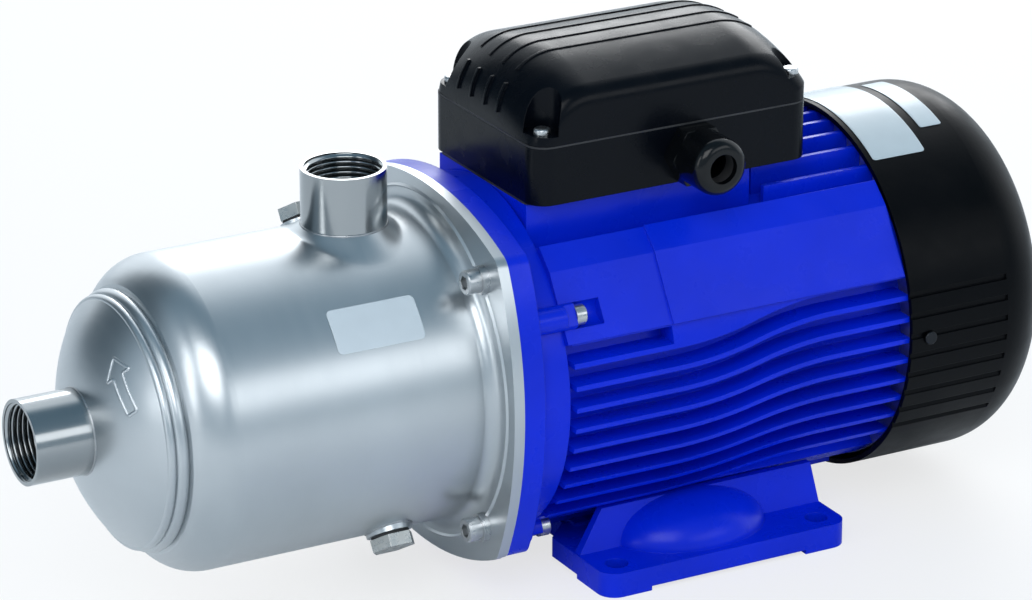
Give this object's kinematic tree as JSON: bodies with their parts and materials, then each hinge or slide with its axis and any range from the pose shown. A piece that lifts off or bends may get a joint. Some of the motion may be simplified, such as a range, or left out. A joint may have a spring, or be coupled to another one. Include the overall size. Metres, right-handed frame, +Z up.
{
  "type": "multistage centrifugal pump",
  "caption": "Horizontal multistage centrifugal pump: pressed stainless pump end with threaded ports, finned motor, terminal box, fan cover and cast foot.",
  "frame": {"origin": "middle of the four foot holes, on the face that the foot stands on", "axes": "+X along the shaft from the suction port to the fan, +Z up along the discharge port"},
  "size_m": [0.4569, 0.168, 0.2253],
  "materials": {
    "stainless_sheet": "satin, drawn and polished sheet",
    "turned_steel": "turned and ground",
    "zinc_plated_steel": "zinc plated",
    "plug_steel": "turned, satin",
    "blue_paint": "semi-gloss paint on cast metal",
    "cast_aluminium": "as cast",
    "black_cover": "satin moulded",
    "black_plastic": "fine moulded texture",
    "gland_plastic": "smooth moulded",
    "rubber": "matte",
    "seal_face": "lapped",
    "laminations": "stacked sheet",
    "copper_windings": "varnished wire"
  },
  "bodies": {
    "root": {"bearing_outer_rings": "turned_steel", "body_o_ring": "rubber", "box_gasket": "rubber", "box_screws": "zinc_plated_steel", "bracket": "blue_paint", "capacitor": "cast_aluminium", "cover_gasket": "rubber", "cover_screws": "zinc_plated_steel", "diffusers": "stainless_sheet", "discharge_port": "stainless_sheet", "fan_cover": "black_cover", "fan_cover_screws": "zinc_plated_steel", "flange_bolts": "zinc_plated_steel", "flange_washers": "zinc_plated_steel", "foot": "blue_paint", "foot_screws": "zinc_plated_steel", "gland_body": "gland_plastic", "gland_locknut": "gland_plastic", "gland_nut": "gland_plastic", "gland_seal": "rubber", "motor_frame": "blue_paint", "motor_screws": "zinc_plated_steel", "outlet_cage": "stainless_sheet", "plug_bosses": "stainless_sheet", "pump_body": "stainless_sheet", "rear_shield": "cast_aluminium", "seal_housing": "stainless_sheet", "seal_seat": "seal_face", "shield_screws": "zinc_plated_steel", "stage_casings": "stainless_sheet", "stator_core": "laminations", "stator_windings": "copper_windings", "suction_port": "stainless_sheet", "terminal_block": "black_plastic", "terminal_box_base": "black_plastic", "terminal_box_cover": "black_plastic", "wave_spring": "turned_steel", "wear_rings": "seal_face"},
    "rotor": {"shaft": "turned_steel", "impeller_1": "stainless_sheet", "impeller_2": "stainless_sheet", "impeller_3": "stainless_sheet", "impeller_4": "stainless_sheet", "shaft_spacers": "stainless_sheet", "impeller_nut": "turned_steel", "seal_ring": "seal_face", "seal_bellows": "rubber", "seal_collar": "stainless_sheet", "slinger": "rubber", "rotor_core": "laminations", "rotor_end_rings": "cast_aluminium", "bearing_inner_rings": "turned_steel", "bearing_balls": "turned_steel", "fan": "black_plastic", "fan_clip": "turned_steel"},
    "fill_plug_seal": {"fill_plug_seal": "rubber"},
    "fill_plug": {"fill_plug": "plug_steel"},
    "drain_plug_seal": {"drain_plug_seal": "rubber"},
    "drain_plug": {"drain_plug": "plug_steel"}
  },
  "joints": [
    {"name": "rotor_spin", "type": "hinge", "parent": "root", "child": "rotor", "pos_m": [0, 0, 0.09], "axis": [1, 0, 0], "continuous": true},
    {"name": "fill_plug_lift", "type": "slide", "parent": "root", "child": "fill_plug_seal", "axis": [0, 0.5592, 0.829], "range_m": [0, 0.0089]},
    {"name": "fill_plug_turn", "type": "hinge", "parent": "fill_plug_seal", "child": "fill_plug", "pos_m": [-0.142, 0.03948, 0.14853], "axis": [0, 0.5592, 0.829], "range_deg": [0, 2400]},
    {"name": "drain_plug_lift", "type": "slide", "parent": "root", "child": "drain_plug_seal", "axis": [0, -0.5592, -0.829], "range_m": [0, 0.0089]},
    {"name": "drain_plug_turn", "type": "hinge", "parent": "drain_plug_seal", "child": "drain_plug", "pos_m": [-0.142, -0.03948, 0.03147], "axis": [0, -0.5592, -0.829], "range_deg": [0, 2400]}
  ],
  "couplings": [
    {"joint": "fill_plug_turn", "follows": "fill_plug_lift", "rad_per_m": 4699.2},
    {"joint": "drain_plug_turn", "follows": "drain_plug_lift", "rad_per_m": 4699.2}
  ]
}
